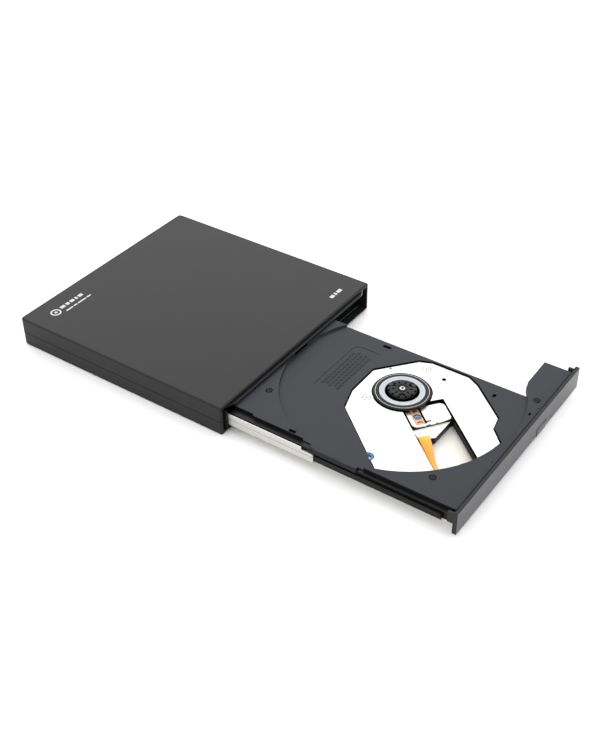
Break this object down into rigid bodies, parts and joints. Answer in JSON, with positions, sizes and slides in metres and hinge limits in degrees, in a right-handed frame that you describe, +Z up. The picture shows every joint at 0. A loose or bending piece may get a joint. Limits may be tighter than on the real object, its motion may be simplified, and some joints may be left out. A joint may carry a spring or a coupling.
{
  "type": "external optical disc drive",
  "caption": "Slim external optical drive with its tray slid open, showing the disc recess, spindle with sprung claws, traverse plate and laser pickup",
  "frame": {"origin": "centre of the enclosure's flat underside, on the surface it rests on", "axes": "+Z up, the tray slides out towards -Y (joint zero is the open tray) and +X is on the right for someone facing the bezel"},
  "size_m": [0.1344, 0.2665, 0.017],
  "materials": {
    "black_abs": "satin moulded ABS with fine grain",
    "tray_plastic": "matte moulded dark grey plastic",
    "bezel_plastic": "satin moulded grey plastic",
    "steel_sheet": "zinc plated sheet, dull",
    "black_steel": "black finish, satin",
    "bright_steel": "bright rolled steel",
    "foot_rubber": "matte rubber pad",
    "damper_rubber": "soft blue rubber",
    "ring_rubber": "pale friction rubber",
    "circuit_board": "green solder mask",
    "moulded_resin": "black moulded resin",
    "flex_film": "orange polyimide film",
    "motor_winding": "enamelled copper winding",
    "lens_glass": "small blue coated lens",
    "lamp_plastic": "clear plastic light pipe"
  },
  "bodies": {
    "enclosure": {"top_cover": "black_abs", "bottom_cover": "black_abs", "rubber_foot_front_left": "foot_rubber", "rubber_foot_front_right": "foot_rubber", "rubber_foot_rear_left": "foot_rubber", "rubber_foot_rear_right": "foot_rubber", "case_screw_left": "black_steel", "case_screw_right": "black_steel", "drive_base_pan": "steel_sheet", "drive_top_plate": "black_steel", "left_guide": "black_abs", "right_guide": "black_abs", "main_board": "circuit_board", "main_chip": "moulded_resin", "drive_connector": "moulded_resin", "board_flex": "flex_film", "usb_bridge_board": "circuit_board", "bridge_chip": "moulded_resin", "bridge_connector": "moulded_resin", "mini_usb_socket": "bright_steel", "dc_jack": "moulded_resin"},
    "left_slide": {"left_rail": "bright_steel"},
    "right_slide": {"right_rail": "bright_steel"},
    "tray_carriage": {"tray": "tray_plastic", "bezel": "bezel_plastic", "tray_bottom_cover": "steel_sheet", "left_tray_rail": "black_abs", "right_tray_rail": "black_abs", "front_board": "circuit_board", "eject_switch": "moulded_resin", "light_pipe": "lamp_plastic", "latch_solenoid": "moulded_resin", "traverse_plate": "bright_steel", "traverse_chassis": "black_abs", "near_guide_shaft": "bright_steel", "far_guide_shaft": "bright_steel", "feed_motor": "steel_sheet", "motor_base_plate": "steel_sheet", "spindle_bearing": "steel_sheet", "spindle_stator": "motor_winding", "rubber_damper_1": "damper_rubber", "rubber_damper_2": "damper_rubber", "rubber_damper_3": "damper_rubber", "damper_screw_1": "black_steel", "damper_screw_2": "black_steel", "damper_screw_3": "black_steel", "pickup_flex": "flex_film"},
    "button": {"eject_button": "bezel_plastic"},
    "latch": {"latch_lever": "steel_sheet"},
    "feed_screw": {"lead_screw": "bright_steel"},
    "spindle": {"turntable": "black_steel", "friction_ring": "ring_rubber", "clamp_hub": "black_abs"},
    "claw_1": {"hub_claw_1": "black_abs"},
    "claw_2": {"hub_claw_2": "black_abs"},
    "claw_3": {"hub_claw_3": "black_abs"},
    "sled": {"pickup_base": "steel_sheet", "pickup_cover": "bright_steel"},
    "lens": {"lens_holder": "black_abs", "objective_lens": "lens_glass"}
  },
  "joints": [
    {"name": "tray_slide", "type": "slide", "parent": "enclosure", "child": "tray_carriage", "axis": [0, 1, 0], "range_m": [0, 0.1246]},
    {"name": "left_rail_slide", "type": "slide", "parent": "enclosure", "child": "left_slide", "axis": [0, 1, 0], "range_m": [0, 0.0623]},
    {"name": "right_rail_slide", "type": "slide", "parent": "enclosure", "child": "right_slide", "axis": [0, 1, 0], "range_m": [0, 0.0623]},
    {"name": "eject_button_press", "type": "slide", "parent": "tray_carriage", "child": "button", "axis": [0, 1, 0], "range_m": [0, 0.0005], "stiffness_N_per_m": 400},
    {"name": "latch_turn", "type": "hinge", "parent": "tray_carriage", "child": "latch", "pos_m": [0.009, -0.18463, 0.0056], "axis": [0, 0, 1], "range_deg": [0, 10], "stiffness_Nm_per_rad": 0.01},
    {"name": "sled_slide", "type": "slide", "parent": "tray_carriage", "child": "sled", "axis": [-0.6428, -0.766, 0], "range_m": [0, 0.0365]},
    {"name": "lead_screw_spin", "type": "hinge", "parent": "tray_carriage", "child": "feed_screw", "pos_m": [0.01002, -0.15559, 0.007], "axis": [-0.6428, -0.766, 0], "range_deg": [-5, 4385]},
    {"name": "lens_focus", "type": "slide", "parent": "sled", "child": "lens", "axis": [0, 0, 1], "range_m": [-0.0003, 0.0003], "stiffness_N_per_m": 60},
    {"name": "spindle_spin", "type": "hinge", "parent": "tray_carriage", "child": "spindle", "pos_m": [0, -0.13112, 0.012], "axis": [0, 0, 1], "continuous": true},
    {"name": "claw_1_press", "type": "slide", "parent": "spindle", "child": "claw_1", "axis": [0, 1, 0], "range_m": [-0.0005, 0], "stiffness_N_per_m": 300},
    {"name": "claw_2_press", "type": "slide", "parent": "spindle", "child": "claw_2", "axis": [-0.866, -0.5, 0], "range_m": [-0.0005, 0], "stiffness_N_per_m": 300},
    {"name": "claw_3_press", "type": "slide", "parent": "spindle", "child": "claw_3", "axis": [0.866, -0.5, 0], "range_m": [-0.0005, 0], "stiffness_N_per_m": 300}
  ],
  "couplings": [
    {"joint": "left_rail_slide", "follows": "tray_slide", "ratio": 0.5},
    {"joint": "right_rail_slide", "follows": "tray_slide", "ratio": 0.5},
    {"joint": "lead_screw_spin", "follows": "sled_slide", "rad_per_m": 2094.4}
  ]
}
